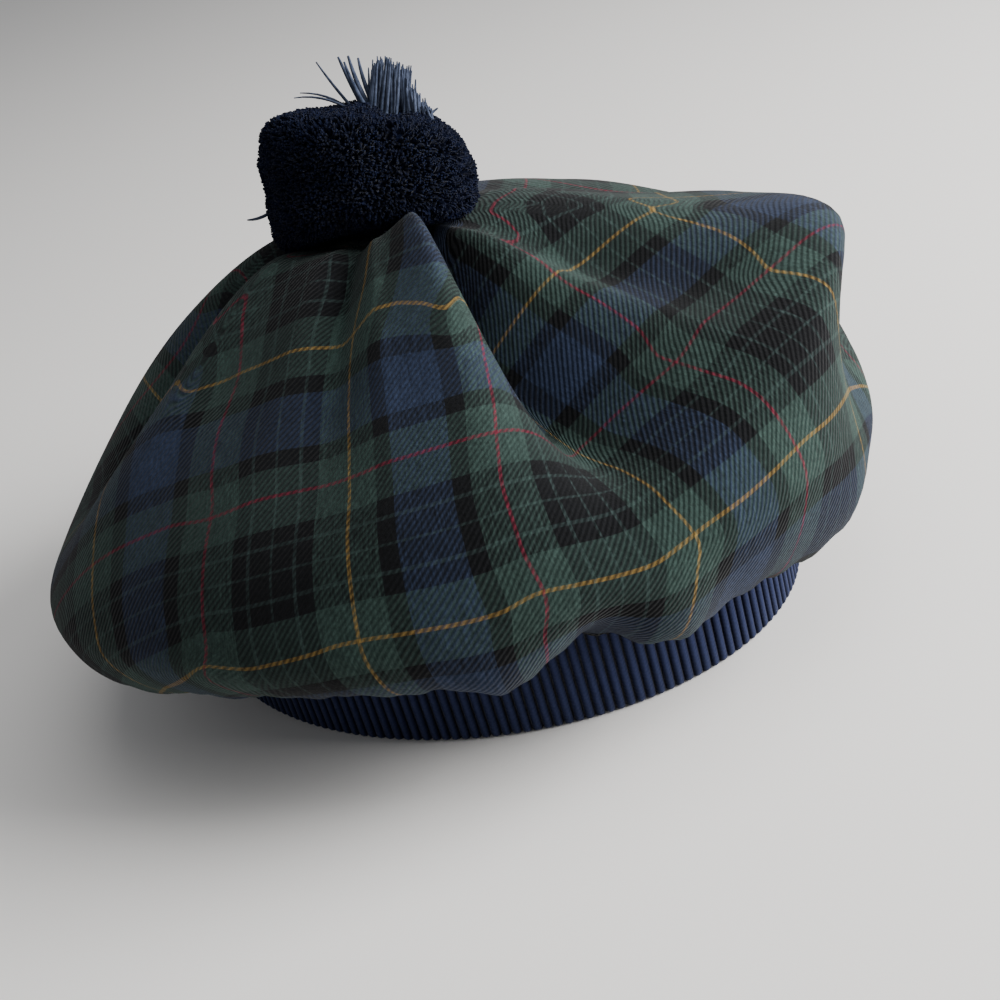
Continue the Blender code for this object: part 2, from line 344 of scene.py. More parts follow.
# Radius and height of the crown without folds and dents.
def plainCrown(azimuth, share):
    reach = sectionValue(azimuth, "reach") * crownReach
    a = np.radians(azimuth)
    bandOut = 1 / np.hypot(np.cos(a) / (bandShape["width"] / 2), np.sin(a) / (bandShape["length"] / 2))
    flat = np.zeros_like(reach)
    radii = [flat, flat + crownShape["seatRadius"], crownShape["crestOut"] * reach]
    radii += [crownShape["slopeOut"] * reach, sectionValue(azimuth, "browOut") * reach, reach]
    radii += [sectionValue(azimuth, "tuckOut") * reach, bandOut + crownShape["lipReach"]]
    radii += [bandOut - bandShape["wall"]]
    heights = [flat + crownShape["middleHeight"]] * 2
    heights += [sectionValue(azimuth, column) for column in ("crest", "slope", "brow", "rim", "tuck")]
    heights = [bandShape["height"] + h * crownShape["rise"] for h in heights]
    heights += [flat + bandShape["height"] + crownShape["gap"]] * 2
    return curveAt(stations, np.array(radii), share), curveAt(stations, np.array(heights), share)


# The cloth's middle, under the pompom, lies aside from the middle of the band.
def middleAside():
    a = math.radians(crownShape["middleAzimuth"])
    return Vector((math.cos(a), math.sin(a), 0)) * crownShape["middleShift"]


# Points of the cloth's outer side: azimuth in the cloth, and share of the way from middle to band.
def crownPoints(azimuth, share):
    rise = crownShape["rise"]
    plan, lift, lean = azimuth.copy(), np.zeros_like(azimuth), np.zeros_like(azimuth)
    for top, rim, spread, depth, pinch, side, start, peak, end in crownFolds:
        away = angleFrom(azimuth, top + (rim - top) * np.minimum(share / end, 1))
        pull = swell(share, start, peak, end) * bump(away / spread)
        lift += depth * rise * pull
        lean += side * rise * pull
        plan -= pinch * away * pull
    radius, height = plainCrown(plan, share)
    step = crownShape["slopeStep"]
    inner = plainCrown(plan, np.maximum(share - step, 0))
    outer = plainCrown(plan, np.minimum(share + step, 1))
    normalOut, normalUp = inner[1] - outer[1], outer[0] - inner[0]
    size = np.hypot(normalOut, normalUp)
    normalOut, normalUp = normalOut / size, normalUp / size
    push = np.zeros_like(azimuth)
    for centre, spread, at, halfHeight, depth in crownDents:
        aroundIt = bump(angleFrom(azimuth, centre) / spread)
        push -= depth * crownReach * aroundIt * bump((share - at) / halfHeight)
    square = crownShape["foldSquare"]
    radius = radius + (push + square * lift) * normalOut
    height = height + (push + square * lift) * normalUp + (1 - square) * lift * np.maximum(normalUp, 0)
    gathered = swell(share, crownShape["gatherStart"], crownShape["gatherFull"], crownShape["gatherFade"])
    wander = crownShape["gatherWander"] * np.sin(np.radians(2 * azimuth))
    gather = 0.5 - 0.5 * np.cos(np.radians(azimuth * crownShape["gathers"] + wander))
    pucker = np.sin(np.radians(azimuth * crownShape["puckers"] + 2 * wander))
    height = height + (crownShape["gatherDepth"] * gather + crownShape["puckerDepth"] * pucker) * gathered
    a = np.radians(plan)
    aside = swell(share, -crownShape["middleFade"], 0, crownShape["middleFade"])
    across = radius * np.cos(a) - lean * np.sin(a) + middleAside().x * aside + hatMiddle.x
    along = radius * np.sin(a) + lean * np.cos(a) + middleAside().y * aside + hatMiddle.y
    return np.stack([across, along, height], -1)


def crownGrid():
    columns = crownShape["coarseColumns"] * crownShape["fineness"]
    rows = crownShape["coarseRows"] * crownShape["fineness"]
    azimuths, shares = np.arange(columns) * 360 / columns, np.linspace(0, 1, rows + 1)
    azimuth, share = np.meshgrid(azimuths, shares, indexing="ij")
    return azimuth, share, crownPoints(azimuth, share)


gridAzimuth, gridShare, gridPoints = crownGrid()
print("crown shaped", gridPoints.shape)

# Tartan cloth laid on the crown. Lines of the weave that show in the photograph hold it, its own
# lengths do the rest. It jumps across the bottom of the deep fold, where a pleat of it is tucked in,
# and gives under the pompom, at the unseen back, and round the edge where it is gathered.
clothLay = {
    "sett": 0.088,
    "startTurn": 48.5,
    "startAcross": 1.43,
    "startUp": 0.50,
    "rounds": 120,
    "pinStrength": 400.0,
    "grazing": 0.45,
    "diagonalStrength": 0.4,
    "gatherStrength": 0.08,
    "gatherStart": 0.76,
    "pleatAzimuth": 237.5,
    "pleatOpen": 0.40,
    "pleatClosed": 0.62,
    "backAzimuth": 35,
    "backSpread": 115,
    "backSlip": 0.97,
    "hiddenTop": 0.16,
    "hiddenStrength": 0.003,
    "leastSewn": 0.0005,
    "leastLength": 0.0005,
}
# warp line, weft line, in half setts (even is yellow, odd is red), and the pixel where they cross
tartanCrossings = (
    (-1, 0, 240, 372), (0, 0, 352, 335), (3, 0, 553, 274), (4, 0, 645, 209),
    (-1, -1, 212, 520), (0, -1, 350, 480), (1, -1, 497, 432), (2, -1, 572, 451), (3, -1, 674, 368),
    (4, -1, 767, 272), (-1, -2, 203, 668), (0, -2, 357, 640), (1, -2, 545, 590), (2, -2, 695, 532),
    (3, -2, 795, 448),
)
# the kind of line, its place in half setts, and a pixel on it
tartanLines = (
    ("weft", 0, 372, 308), ("weft", 0, 397, 300), ("weft", 0, 426, 304), ("weft", 0, 447, 314),
    ("weft", 1, 292, 257), ("weft", 1, 334, 250), ("warp", 1, 493, 390), ("warp", 0.62, 426, 304),
    ("warp", 0.80, 447, 314), ("warp", 0, 366, 276), ("warp", 0, 373, 243), ("warp", -1, 243, 330),
    ("warp", -1, 246, 295), ("warp", -1.19, 214, 352), ("warp", -1.4, 203, 330),
    ("warp", -1.3, 222, 305), ("warp", -1.3, 195, 400),
)


# Column and row of the grid under a pixel, as fractions, and how squarely the ray meets the cloth.
def gridUnderPixel(tree, faces, pixelX, pixelY):
    hit, normal, index, _ = tree.ray_cast(cameraPlace, pixelRay(pixelX, pixelY))
    if hit is None:
        return None
    corners = faces[index]
    weights = poly_3d_calc([Vector(gridPoints[c]) for c in corners], hit)
    columns = gridPoints.shape[0]
    first = corners[0][0]
    column = sum(w * ((c[0] - first + 2) % columns - 2) for w, c in zip(weights, corners)) + first
    row = sum(w * c[1] for w, c in zip(weights, corners))
    return column, row, abs(normal.dot(pixelRay(pixelX, pixelY)))


# Place of each grid point in the flat cloth, in metres along weft and warp.
def layCloth():
    columns, rows = crownShape["coarseColumns"], crownShape["coarseRows"] + 1
    fineness = crownShape["fineness"]
    fineColumns, fineRows = gridPoints.shape[:2]
    half = clothLay["sett"] / 2

    def lengthTo(columnStep, rowStep):
        total = np.zeros((columns, rows))
        i, j = np.arange(columns)[:, None] * fineness, np.arange(rows)[None, :] * fineness
        for k in range(fineness):
            start, end = (
                gridPoints[(i + columnStep * n) % fineColumns, np.minimum(j + rowStep * n, fineRows - 1)]
                for n in (k, k + 1)
            )
            total += np.linalg.norm(end - start, axis=2)
        return total

    azimuth = gridAzimuth[::fineness, ::fineness]
    share = gridShare[::fineness, ::fineness]
    stiff = np.where(share < clothLay["hiddenTop"], clothLay["hiddenStrength"], 1.0)
    atBack = bump(angleFrom(azimuth, clothLay["backAzimuth"]) / clothLay["backSpread"])
    stiff = stiff * (1 - clothLay["backSlip"] * atBack)
    around = stiff * np.where(share > clothLay["gatherStart"], clothLay["gatherStrength"], 1.0)
    closed = (share - clothLay["pleatOpen"]) / (clothLay["pleatClosed"] - clothLay["pleatOpen"])
    sewn = np.clip(closed, clothLay["leastSewn"], 1)
    pleat = math.floor(clothLay["pleatAzimuth"] * columns / 360)
    onwards, backwards = np.ones_like(share), np.ones_like(share)
    onwards[pleat], backwards[(pleat + 1) % columns] = sewn[pleat], sewn[pleat]
    ids = np.arange(columns * rows).reshape(columns, rows)
    ids[:, 0] = 0
    diagonal = clothLay["diagonalStrength"]
    after, before = np.roll(ids, -1, 0)[:, 1:], np.roll(ids, 1, 0)[:, 1:]
    forward, backward = (around * onwards)[:, 1:], (around * backwards)[:, 1:]
    springs = (
        (ids[:, :-1], ids[:, 1:], lengthTo(0, 1)[:, :-1], stiff[:, 1:]),
        (ids[:, 1:], after, lengthTo(1, 0)[:, 1:], forward),
        (ids[:, :-1], after, lengthTo(1, 1)[:, :-1], diagonal * forward),
        (ids[:, :-1], before, lengthTo(-1, 1)[:, :-1], diagonal * backward),
    )
    a, b, rest, strength = (np.concatenate([s[k].ravel() for s in springs]) for k in range(4))
    strength = strength / np.maximum(rest, clothLay["leastLength"])
    count = columns * rows
    pull = np.zeros((count, count))
    np.add.at(pull, (a, a), strength)
    np.add.at(pull, (b, b), strength)
    np.add.at(pull, (a, b), -strength)
    np.add.at(pull, (b, a), -strength)

    faces = [
        ((i, j), (i, j + 1), ((i + 1) % fineColumns, j + 1), ((i + 1) % fineColumns, j))
        for i in range(fineColumns) for j in range(fineRows - 1)
    ]
    flatIds = np.arange(fineColumns * fineRows).reshape(fineColumns, fineRows)
    tree = BVHTree.FromPolygons(
        [Vector(p) for p in gridPoints.reshape(-1, 3)],
        [[int(flatIds[c]) for c in face] for face in faces],
    )
    pins = [(x, y, warp * half, weft * half) for warp, weft, x, y in tartanCrossings]
    for kind, number, x, y in tartanLines:
        pins.append((x, y, number * half, None) if kind == "warp" else (x, y, None, number * half))
    held = [pull.copy(), pull.copy()]
    goal = np.zeros((count, 2))
    for pixelX, pixelY, *target in pins:
        found = gridUnderPixel(tree, faces, pixelX, pixelY)
        if found is None:
            print("no cloth under pixel", pixelX, pixelY)
            continue
        column, row = found[0] / fineness, found[1] / fineness
        hold = clothLay["pinStrength"] * min(found[2] / clothLay["grazing"], 1) ** 2
        i, j = math.floor(column), min(math.floor(row), rows - 2)
        weights = {}
        for di in (0, 1):
            for dj in (0, 1):
                corner = ids[(i + di) % columns, j + dj]
                nearness = abs(1 - di - (column - i)) * abs(1 - dj - (row - j))
                weights[corner] = weights.get(corner, 0) + nearness
        for axis in (0, 1):
            if target[axis] is None:
                continue
            for p, w in weights.items():
                goal[p, axis] += hold * w * target[axis]
                for q, v in weights.items():
                    held[axis][p, q] += hold * w * v
    used = np.unique(ids)
    solve = [np.linalg.inv(h[np.ix_(used, used)]) for h in held]

    out = np.concatenate([np.zeros((columns, 1)), np.cumsum(lengthTo(0, 1)[:, :-1], axis=1)], axis=1)
    angle = np.radians(azimuth + clothLay["startTurn"])
    lay = np.zeros((count, 2))
    lay[:, 0] = (out * np.cos(angle)).ravel() + clothLay["startAcross"] * half
    lay[:, 1] = (out * np.sin(angle)).ravel() + clothLay["startUp"] * half
    for _ in range(clothLay["rounds"]):
        step = lay[b] - lay[a]
        step *= (strength * rest / np.maximum(np.linalg.norm(step, axis=1), 1e-9))[:, None]
        pullTo = goal.copy()
        np.add.at(pullTo, b, step)
        np.add.at(pullTo, a, -step)
        for axis in (0, 1):
            lay[used, axis] = solve[axis] @ pullTo[used, axis]
    stretch = np.linalg.norm(lay[b] - lay[a], axis=1) / rest
    print("cloth laid, lengths kept to", np.percentile(stretch, [5, 25, 50, 75, 95]).round(2))
    return refine(lay[ids])


# A coarse grid, closed round its first direction, made fine by smooth curves.
def refine(coarse):
    def slope(before, after):
        both = before * after
        return np.where(both > 0, 2 * both / np.where(both > 0, before + after, 1), 0)

    def between(p0, p1, p2, p3, u):
        step = p2 - p1
        start, end = slope(p1 - p0, step), slope(step, p3 - p2)
        return p1 + u * (start + u * (3 * step - 2 * start - end + u * (start + end - 2 * step)))

    u = np.arange(crownShape["fineness"]) / crownShape["fineness"]
    rounds = [np.roll(coarse, -k, 0)[:, None] for k in (-1, 0, 1, 2)]
    ring = between(*rounds, u[None, :, None, None]).reshape(-1, *coarse.shape[1:])
    padded = np.concatenate([2 * ring[:, :1] - ring[:, 1:2], ring, 2 * ring[:, -1:] - ring[:, -2:-1]], 1)
    steps = [padded[:, k:padded.shape[1] - 3 + k, None] for k in range(4)]
    fine = between(*steps, u[None, None, :, None]).reshape(ring.shape[0], -1, coarse.shape[2])
    return np.concatenate([fine, ring[:, -1:]], 1)


clothAt = layCloth()

# Tartan wool: a 2/2 twill of fulled, lightly brushed wool. Its diagonal ridges mix the two colours
# where stripes cross, its nap hides the single threads and gives a dull, soft edge to the light.
tartanLook = {
    "green": "#273531",
    "blue": "#20283a",
    "black": "#0a0b0d",
    "pale": "#232d2c",
    "yellow": "#705a30",
    "red": "#5c1c2a",
    "threadSpacing": 0.0005,
    "twillDepth": 0.26,
    "streaksAcross": 150,
    "streaksAlong": 14,
    "streakMixing": 0.9,
    "streakDepth": 0.30,
    "patchDepth": 0.16,
    "napDepth": 0.30,
    "ridgeShare": 0.5,
    "ridgeHeight": 0.00035,
    "reliefStrength": 0.6,
    "roughness": 0.92,
    "sheen": 0.05,
    "sheenRoughness": 0.5,
    "specular": 0.08,
}
# scale, detail, roughness of each noise
tartanNoises = {
    "streaks": (1.0, 2.0, 0.6),
    "patches": (28, 3.0, 0.6),
    "nap": (900, 2.0, 0.7),
}
noiseSpan = (0.3, 0.7)  # nearly all of a noise lies between these
# where each stripe starts, as a share of the sett from its yellow line
tartanStripes = (
    (0.0, "yellow"), (0.0075, "green"), (0.095, "black"), (0.155, "blue"), (0.345, "black"),
    (0.405, "green"), (0.493, "red"), (0.507, "green"), (0.608, "black"), (0.660, "pale"),
    (0.669, "black"), (0.740, "pale"), (0.749, "black"), (0.820, "pale"), (0.829, "black"),
    (0.8865, "green"), (0.9925, "yellow"),
)


# Lighter and darker by a noise, from 1 - depth to 1 + depth.
def lightFrom(tree, noise, depth):
    return addNode(tree, "ShaderNodeMapRange", {
        0: noise, 1: noiseSpan[0], 2: noiseSpan[1], 3: 1 - depth, 4: 1 + depth}).outputs[0]


def makeTartanWool():
    look = tartanLook
    material, tree, shader = addMaterial("brushedTwillWool", look)
    uv = addNode(tree, "ShaderNodeUVMap", uv_map="cloth").outputs["UV"]
    split = addNode(tree, "ShaderNodeSeparateXYZ", {0: uv})
    across, upward = split.outputs["X"], split.outputs["Y"]
    objectAt = addNode(tree, "ShaderNodeTexCoord").outputs["Object"]
    yarns = []
    for place in (across, addMath(tree, "MULTIPLY", upward, -1.0)):
        ramp = addNode(tree, "ShaderNodeValToRGB", {0: addMath(tree, "FRACT", place)})
        ramp.color_ramp.interpolation = "CONSTANT"
        elements = ramp.color_ramp.elements
        elements[0].position, elements[0].color = 0, hexToLinear(look[tartanStripes[0][1]])
        elements[1].position, elements[1].color = 1, hexToLinear(look["yellow"])
        for start, color in tartanStripes[1:]:
            elements.new(start).color = hexToLinear(look[color])
        yarns.append(ramp.outputs["Color"])
    # diagonal ridges, four threads apart, on which one yarn or the other comes to the face
    slope = addMath(tree, "SUBTRACT", across, upward)
    turns = 2 * math.pi * clothLay["sett"] / (4 * look["threadSpacing"])
    ridge = addMath(tree, "SINE", addMath(tree, "MULTIPLY", slope, turns))
    # uneven dyed yarn: streaks along the warp, which break the ridges up
    streakAt = addNode(tree, "ShaderNodeVectorMath", {
        0: uv, 1: (look["streaksAcross"], look["streaksAlong"], 0)}, operation="MULTIPLY").outputs[0]
    streaks = addNoise(tree, streakAt, *tartanNoises["streaks"])
    mixing = look["streakMixing"]
    uneven = addMath(tree, "MULTIPLY_ADD", streaks, mixing, 0.5 - mixing / 2)
    onTop = addMath(tree, "MULTIPLY_ADD", ridge, look["twillDepth"], uneven, use_clamp=True)
    woven = addNode(tree, "ShaderNodeMix", {0: onTop, 6: yarns[1], 7: yarns[0]}, data_type="RGBA").outputs[2]

    patches = addNoise(tree, objectAt, *tartanNoises["patches"])
    nap = addNoise(tree, objectAt, *tartanNoises["nap"])
    patchLight = lightFrom(tree, patches, look["patchDepth"])
    napLight = lightFrom(tree, nap, look["napDepth"])
    streakLight = lightFrom(tree, streaks, look["streakDepth"])
    light = addMath(tree, "MULTIPLY", addMath(tree, "MULTIPLY", patchLight, napLight), streakLight)
    lit = addNode(tree, "ShaderNodeVectorMath", {0: woven, 3: light}, operation="SCALE").outputs[0]
    tree.links.new(lit, shader.inputs["Base Color"])
    relief = addMath(tree, "MULTIPLY_ADD", ridge, look["ridgeShare"], nap)
    addRelief(tree, shader, relief, look["reliefStrength"], look["ridgeHeight"])
    return material


# The cloth as one shell: the laid outer side, thickened inwards, with its hem closed.
def makeCrown():
    columns, rows = gridPoints.shape[:2]
    shell = bmesh.new()
    middle = shell.verts.new(gridPoints[0, 0])
    rings = [[shell.verts.new(gridPoints[i, j]) for i in range(columns)] for j in range(1, rows)]
    laid = shell.loops.layers.uv.new("cloth")

    def addFace(corners):
        face = shell.faces.new([middle if j == 0 else rings[j - 1][i % columns] for i, j in corners])
        face.smooth = True
        for loop, (i, j) in zip(face.loops, corners):
            loop[laid].uv = clothAt[i % columns, j] / clothLay["sett"]

    for i in range(columns):
        addFace(((i, 0), (i, 1), (i + 1, 1)))
        for j in range(1, rows - 1):
            addFace(((i, j), (i, j + 1), (i + 1, j + 1), (i + 1, j)))
    crown = addObject("crownCloth", meshFrom(shell, "crownCloth"))
    wall = crown.modifiers.new("wall", "SOLIDIFY")
    wall.thickness = crownShape["wall"]
    wall.offset = -1
    return addPiece("crownCloth", plainMesh(crown), "crown", makeTartanWool())


crownCloth = makeCrown()
print("crown made", len(crownCloth.data.polygons), "faces")

# Rib knit: fine merino yarn in a close 1 by 1 rib. Smooth columns of stitches catch the light, and
# the purl columns between them are deep and nearly black, a shade that is painted into the colour.
knitLook = {
    "crest": "#252c49",
    # painted shade: the colour of the rib's grooves, and where across the rib it starts and is full
    "groove": "#0a0e20",
    "paintedShadeStart": 0.08,
    "grooveStart": 0.42,
    "stitchHeight": 0.0013,
    "stitchTilt": 1.6,
    "stitchShade": -0.03,
    "stitchRelief": 0.15,
    "fuzzScale": 1500.0,
    "fuzzDetail": 2.0,
    "fuzzShade": 0.20,
    "reliefStrength": 0.5,
    "reliefDepth": 0.0003,
    "roughness": 0.92,
    "sheen": 0.05,
    "specular": 0.08,
}


def makeRibKnit():
    look = knitLook
    material, tree, shader = addMaterial("merinoRibKnit", look)
    uv = addNode(tree, "ShaderNodeUVMap", uv_map="rib").outputs["UV"]
    split = addNode(tree, "ShaderNodeSeparateXYZ", {0: uv})
    aside = addMath(tree, "ABSOLUTE", addMath(tree, "SUBTRACT", split.outputs["X"], 0.5))
    tilt = addMath(tree, "MULTIPLY_ADD", aside, look["stitchTilt"], split.outputs["Y"])
    stitch = addMath(tree, "SINE", addMath(tree, "MULTIPLY", tilt, 2 * math.pi))
    objectAt = addNode(tree, "ShaderNodeTexCoord").outputs["Object"]
    fuzz = addNoise(tree, objectAt, look["fuzzScale"], look["fuzzDetail"])
    # painted shade: 0 on the rib's crest, rising to 1 in its groove, where shade falls
    depth = addNode(tree, "ShaderNodeMapRange", {
        0: aside, 1: look["paintedShadeStart"], 2: look["grooveStart"], 3: 0.0, 4: 1.0}).outputs[0]
    shade = addMath(tree, "MULTIPLY_ADD", stitch, look["stitchShade"], depth)
    paintedShadeAndFuzz = addMath(tree, "MULTIPLY_ADD", fuzz, look["fuzzShade"], shade)
    mixed = addNode(tree, "ShaderNodeMix", {
        0: paintedShadeAndFuzz, 6: hexToLinear(look["crest"]), 7: hexToLinear(look["groove"])}, data_type="RGBA").outputs[2]
    tree.links.new(mixed, shader.inputs["Base Color"])
    relief = addMath(tree, "MULTIPLY_ADD", stitch, look["stitchRelief"], fuzz)
    addRelief(tree, shader, relief, look["reliefStrength"], look["reliefDepth"])
    return material


# One rib: a round-backed strip that runs down the outside, round the lower fold and up the inside.
def makeRibStrip():
    half = bandShape["ribPitch"] * bandShape["ribHalf"]
    wall, height = bandShape["wall"] / 2, bandShape["height"]
    lowest = wall
    levels = [height * share for share in (1, 0.75, 0.5, 0.25)] + [lowest]
    path = [(wall, z, 1, 0) for z in levels]
    path += [(wall * math.cos(t), lowest - wall * math.sin(t), math.cos(t), -math.sin(t))
             for t in (math.pi / 4, math.pi / 2, 3 * math.pi / 4)]
    path += [(-wall, z, -1, 0) for z in reversed(levels)]
    crests = (-1.0, -0.6, 0.0, 0.6, 1.0)
    strip = bmesh.new()
    laid = strip.loops.layers.uv.new("rib")
    rings, along = [], [0.0]
    for x, z, outX, outZ in path:
        ring = []
        for side in crests:
            sink = bandShape["ribHeight"] * (1 - math.sqrt(max(1 - side * side, 0)))
            ring.append(strip.verts.new((x - outX * sink, side * half, z - outZ * sink)))
        inner = wall * bandShape["ribCore"]
        ring.append(strip.verts.new((x - outX * inner, 0, z - outZ * inner)))
        rings.append(ring)
    for (x0, z0, *_), (x1, z1, *_) in zip(path, path[1:]):
        along.append(along[-1] + math.hypot(x1 - x0, z1 - z0) / knitLook["stitchHeight"])
    shares = [(side + 1) / 2 for side in crests] + [0.0]
    for k in range(len(path) - 1):
        for s in range(len(shares)):
            t = (s + 1) % len(shares)
            face = strip.faces.new((rings[k][s], rings[k + 1][s], rings[k + 1][t], rings[k][t]))
            face.smooth = s < len(crests) - 1
            for loop, (side, step) in zip(face.loops, ((s, k), (s, k + 1), (t, k + 1), (t, k))):
                loop[laid].uv = (shares[side], along[step])
    for ring in (rings[0], rings[-1][::-1]):
        strip.faces.new(ring)
    bmesh.ops.recalc_face_normals(strip, faces=strip.faces)
    return meshFrom(strip, "ribStrip")


# The ribs stand side by side along the band's oval.
def makeBand():
    wall = bandShape["wall"]
    girth = math.pi * (bandShape["length"] + bandShape["width"]) / 2
    values = {
        "Ribs": round(girth / bandShape["ribPitch"]),
        "Length": bandShape["length"] - wall,
        "Width": bandShape["width"] - wall,
        "Uneven": bandShape["ribUneven"],
        "Seed": bandShape["seed"],
    }
    tree, identifiers, given = addGroup("ribbedBand", values)
    circle = addNode(tree, "GeometryNodeCurvePrimitiveCircle", {
        "Resolution": bandShape["ovalSteps"], "Radius": 0.5})
    size = addNode(tree, "ShaderNodeCombineXYZ", {0: given["Width"], 1: given["Length"], 2: 1.0}).outputs[0]
    oval = addNode(tree, "GeometryNodeTransform", {"Geometry": circle.outputs["Curve"], "Scale": size})
    points = addNode(tree, "GeometryNodeCurveToPoints", {"Curve": oval.outputs[0], "Count": given["Ribs"]})
    squares = addNode(tree, "ShaderNodeVectorMath", {0: size, 1: size}, operation="MULTIPLY").outputs[0]
    place = addNode(tree, "GeometryNodeInputPosition").outputs[0]
    outward = addNode(tree, "ShaderNodeVectorMath", {0: place, 1: squares}, operation="DIVIDE").outputs[0]
    turn = addNode(tree, "FunctionNodeAlignRotationToVector", {"Vector": outward}, axis="X", pivot_axis="Z")
    least, most = (addMath(tree, way, 1.0, given["Uneven"]) for way in ("SUBTRACT", "ADD"))
    chance = addNode(tree, "FunctionNodeRandomValue", {
        2: least, 3: most, "Seed": given["Seed"]}, data_type="FLOAT")
    stretch = addNode(tree, "ShaderNodeCombineXYZ", {0: 1.0, 1: chance.outputs[1], 2: 1.0}).outputs[0]
    ribs = addNode(tree, "GeometryNodeInstanceOnPoints", {
        "Points": points.outputs["Points"], "Instance": given["Geometry"],
        "Rotation": turn.outputs[0], "Scale": stretch})
    material = makeRibKnit()
    mesh = runGroup(tree, identifiers, values, ribs.outputs[0], material, makeRibStrip())
    mesh.transform(Matrix.Translation(hatMiddle))
    return addPiece("bandKnit", mesh, "band", material)


bandKnit = makeBand()
print("band made", len(bandKnit.data.polygons), "faces")

# Pompom: a bundle of cut wool yarn, tied in the middle and trimmed flat on top. Only cut ends show,
# so it takes no highlight at all.
pompomShape = {
    "radius": 0.0310,
    "height": 0.0370,
    "boxy": 6.0,
    "moveLeft": 0.0013,
    "tiltBack": 12,
    "tiltAside": 8,
    "shoulderDrop": 0.34,
    "shoulderWidth": 0.14,
    "droop": 0.006,
    "creaseAt": 0.30,
    "creaseWidth": 0.30,
    "creaseDepth": 0.0030,
    "endLength": 0.0026,
    "endRadius": 0.00050,
    "endTip": 0.00030,
    "endSides": 3,
    "endShortest": 0.85,
    "endLongest": 1.1,
    "endsPerSquareMetre": 1900000,
    "endTilt": 0.40,
    "endSpin": 3.14,
    "lumpHeight": 0.0011,
    "lumpSize": 0.011,
    "lumps": 60,
    "fineness": 5,
    "clearance": 0.0006,
    "seed": 7,
}
yarnLook = {
    "yarn": "#0e1429",
    "shade": "#0a0f20",
    # the strands' colours: the pompom's wool made lighter, as painted light
    "strand": "#454c5e",
    "strandShade": "#2b3242",
    "endPly": 260.0,
    "strandPly": 500.0,
    "fuzzDetail": 2.0,
    "darkBelow": 0.35,
    "lightAbove": 0.65,
    "reliefStrength": 0.6,
    "reliefDepth": 0.0003,
    "roughness": 1.0,
    "sheen": 0.06,
    "specular": 0.04,
}


def makeWoolYarn(name, light, dark, plyScale):
    look = yarnLook
    material, tree, shader = addMaterial(name, look)
    objectAt = addNode(tree, "ShaderNodeTexCoord").outputs["Object"]
    fuzz = addNoise(tree, objectAt, plyScale, look["fuzzDetail"])
    spread = addNode(tree, "ShaderNodeMapRange", {
        0: fuzz, 1: look["darkBelow"], 2: look["lightAbove"]}).outputs[0]
    mixed = addNode(tree, "ShaderNodeMix", {
        0: spread, 6: hexToLinear(dark), 7: hexToLinear(light)}, data_type="RGBA").outputs[2]
    tree.links.new(mixed, shader.inputs["Base Color"])
    addRelief(tree, shader, fuzz, look["reliefStrength"], look["reliefDepth"])
    return material


# The pompom sits on the middle of the cloth, and leans back and to the side that the photograph shows.
def pompomPlace():
    seat = bandShape["height"] + crownShape["middleHeight"] * crownShape["rise"] + crownShape["gap"]
    place = hatMiddle + middleAside() + Vector((0, 0, seat + pompomShape["height"] / 2))
    place -= cameraRight * pompomShape["moveLeft"]
    level = Vector((-cameraBack.x, -cameraBack.y, 0)).normalized()
    aside = level.cross(Vector((0, 0, 1)))
    back = Matrix.Rotation(math.radians(-pompomShape["tiltBack"]), 4, aside)
    sideways = Matrix.Rotation(math.radians(pompomShape["tiltAside"]), 4, level)
    return Matrix.Translation(place) @ back @ sideways


clothTree = BVHTree.FromPolygons(
    [vert.co for vert in crownCloth.data.vertices], [face.vertices[:] for face in crownCloth.data.polygons]
)


# Lifts what would lie in the cloth to just above it, seen from a metre up.
def keepAbove(points, clearance):
    down = Vector((0, 0, -1))
    for point in points:
        hit = clothTree.ray_cast(Vector((point.x, point.y, 1)), down)[0]
        if hit and point.z < hit.z + clearance:
            point.z = hit.z + clearance


# A flattened, square-shouldered ball with soft lumps, which the yarn ends stand on. On the side
# where it leans its shoulder is rounder, on the other side its foot droops, and a crease runs down it.
def makePompomCore():
    shape = pompomShape
    chance = random.Random(shape["seed"])
    radius = shape["radius"] - shape["endLength"]
    half = shape["height"] / 2 - shape["endLength"]
    boxy = shape["boxy"]
    lumps = [Vector([chance.gauss(0, 1) for _ in range(3)]).normalized() for _ in range(shape["lumps"])]
    right = Vector((cameraRight.x, cameraRight.y, 0)).normalized()
    core = bmesh.new()
    bmesh.ops.create_icosphere(core, subdivisions=shape["fineness"], radius=1)
    for vert in core.verts:
        way = vert.co.normalized()
        blocky = (math.hypot(way.x, way.y) ** boxy + abs(way.z) ** boxy) ** (-1 / boxy)
        near = max(way.dot(lump) for lump in lumps)
        lift = shape["lumpHeight"] * (1 - 2 * math.acos(min(near, 1)) * radius / shape["lumpSize"])
        place = Vector((way.x * radius, way.y * radius, way.z * half)) * blocky + way * lift
        outward = max(place.dot(right) / radius, 0)
        place.z -= shape["shoulderDrop"] * half * outward ** 2 * (1 + place.z / half)
        place -= right * shape["shoulderWidth"] * radius * outward * max(place.z / half, 0)
        place.z -= shape["droop"] * max(-place.dot(right) / radius, 0) ** 2 * max(-place.z / half, 0)
        fromCrease = (place.dot(right) / radius - shape["creaseAt"]) / shape["creaseWidth"]
        place -= way * shape["creaseDepth"] * float(bump(fromCrease)) * max(1 + place.z / half, 0) / 2
        vert.co = place
    core.transform(pompomPlace())
    keepAbove([vert.co for vert in core.verts], shape["clearance"])
    mesh = meshFrom(core, "pompomCore")
    mesh.shade_smooth()
    return mesh


